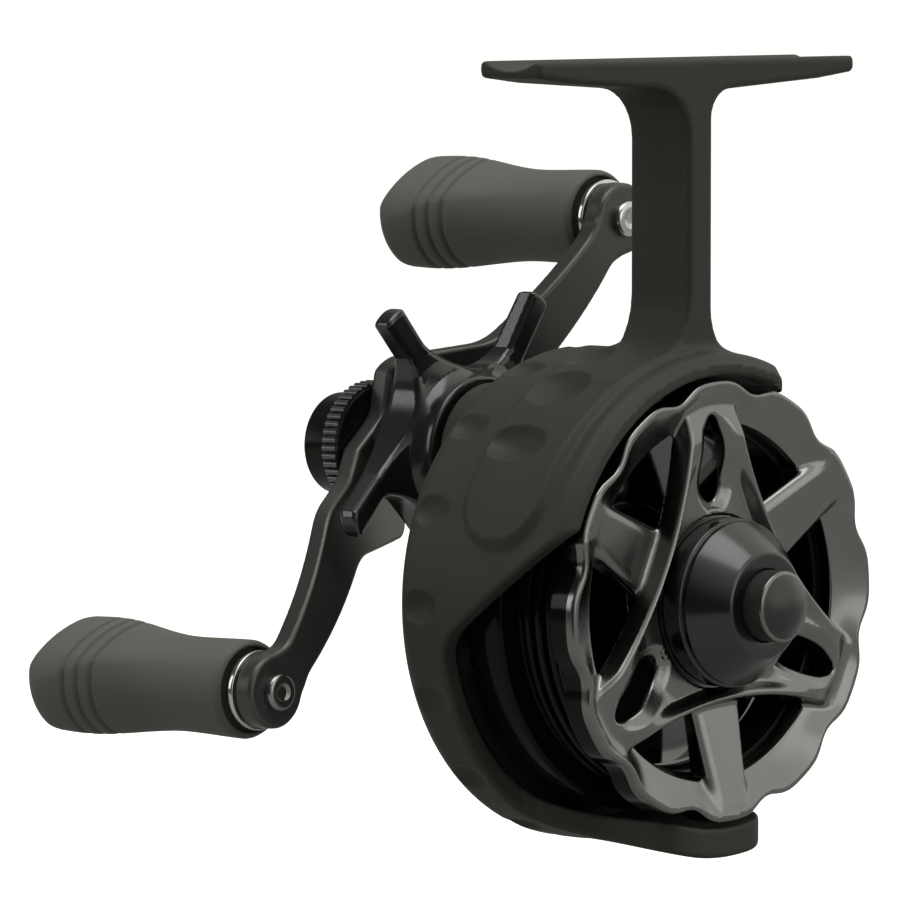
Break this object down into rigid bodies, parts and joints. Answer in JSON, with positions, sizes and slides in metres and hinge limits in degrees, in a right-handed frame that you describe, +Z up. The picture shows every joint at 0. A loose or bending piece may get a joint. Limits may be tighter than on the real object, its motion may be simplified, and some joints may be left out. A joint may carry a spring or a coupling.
{
  "type": "inline ice fishing reel",
  "caption": "Straight-line ice fishing reel that hangs under a rod: foot and stem, moulded half-open frame, spoked spool with push-button release, star drag and double crank handle.",
  "frame": {"origin": "middle of the reel foot's top face, level with the lands beside its saddle channel", "axes": "+X along the spool axis towards the spool's face, +Y along the rod towards its tip, +Z up towards the rod"},
  "size_m": [0.0843, 0.076, 0.0944],
  "materials": {
    "soft_frame": "soft-touch black coat over a moulded frame",
    "black_plate": "moulded black, semi-matt",
    "steel": "turned steel",
    "bright_steel": "polished steel",
    "brass": "cut brass",
    "black_drum": "gloss black anodised",
    "gunmetal": "polished gunmetal anodised",
    "black_cap": "satin black",
    "black_button": "gloss black with a polished edge",
    "drag_fibre": "woven drag fibre",
    "black_drag": "gloss black",
    "black_arm": "gloss black with satin edges",
    "black_nut": "black with bright knurl",
    "grip_rubber": "matt grey-black rubber"
  },
  "bodies": {
    "frame": {"frame": "soft_frame", "gear_plate": "black_plate", "plate_screws": "steel", "rear_bearing": "bright_steel", "front_bearing": "bright_steel", "handle_bearing": "bright_steel", "one_way_clutch": "steel", "shaft_bush": "brass", "idler_pin": "steel"},
    "handle": {"handle_shaft": "steel", "inner_drag_washer": "drag_fibre", "drive_gear": "brass", "outer_drag_washer": "drag_fibre", "pressure_plate": "steel", "clutch_sleeve": "steel", "drag_spring": "steel", "handle_spacer": "black_plate", "handle_arm": "black_arm", "upper_spindle": "bright_steel", "lower_spindle": "steel", "upper_collar": "bright_steel", "lower_collar": "bright_steel"},
    "idler": {"idler_gear": "brass"},
    "spool_drive": {"spool_shaft": "steel", "pinion_gear": "brass", "drive_hub": "steel"},
    "spool": {"spool_drum": "black_drum", "spool_face": "gunmetal", "hub_cap": "black_cap", "spool_latch": "steel", "button_spring": "steel"},
    "release_button": {"release_button": "black_button"},
    "star_drag": {"star_drag": "black_drag"},
    "handle_nut": {"handle_nut": "black_nut"},
    "upper_grip": {"upper_grip": "grip_rubber"},
    "lower_grip": {"lower_grip": "grip_rubber"}
  },
  "joints": [
    {"name": "handle_turn", "type": "hinge", "parent": "frame", "child": "handle", "pos_m": [0, -0.00749, -0.0475], "axis": [1, 0, 0], "continuous": true},
    {"name": "idler_turn", "type": "hinge", "parent": "frame", "child": "idler", "pos_m": [0, 0.00042, -0.05652], "axis": [1, 0, 0], "continuous": true},
    {"name": "spool_turn", "type": "hinge", "parent": "frame", "child": "spool_drive", "pos_m": [0, 0, -0.064], "axis": [1, 0, 0], "continuous": true},
    {"name": "spool_release", "type": "slide", "parent": "spool_drive", "child": "spool", "axis": [1, 0, 0], "range_m": [0, 0.03]},
    {"name": "button_press", "type": "slide", "parent": "spool", "child": "release_button", "axis": [-1, 0, 0], "range_m": [0, 0.0015], "stiffness_N_per_m": 600, "springref_m": -0.001, "deforming": ["button_spring"]},
    {"name": "drag_set", "type": "hinge", "parent": "handle", "child": "star_drag", "pos_m": [0, -0.00749, -0.0475], "axis": [1, 0, 0], "range_deg": [-270, 270]},
    {"name": "nut_turn", "type": "hinge", "parent": "handle", "child": "handle_nut", "pos_m": [0, -0.00749, -0.0475], "axis": [1, 0, 0], "range_deg": [-360, 0]},
    {"name": "upper_grip_spin", "type": "hinge", "parent": "handle", "child": "upper_grip", "pos_m": [0, 0.02271, -0.0205], "axis": [1, 0, 0], "continuous": true},
    {"name": "lower_grip_spin", "type": "hinge", "parent": "handle", "child": "lower_grip", "pos_m": [0, -0.03768, -0.07449], "axis": [1, 0, 0], "continuous": true}
  ],
  "couplings": [
    {"joint": "idler_turn", "follows": "handle_turn", "ratio": -1.6667},
    {"joint": "spool_turn", "follows": "handle_turn", "ratio": 2.5}
  ]
}
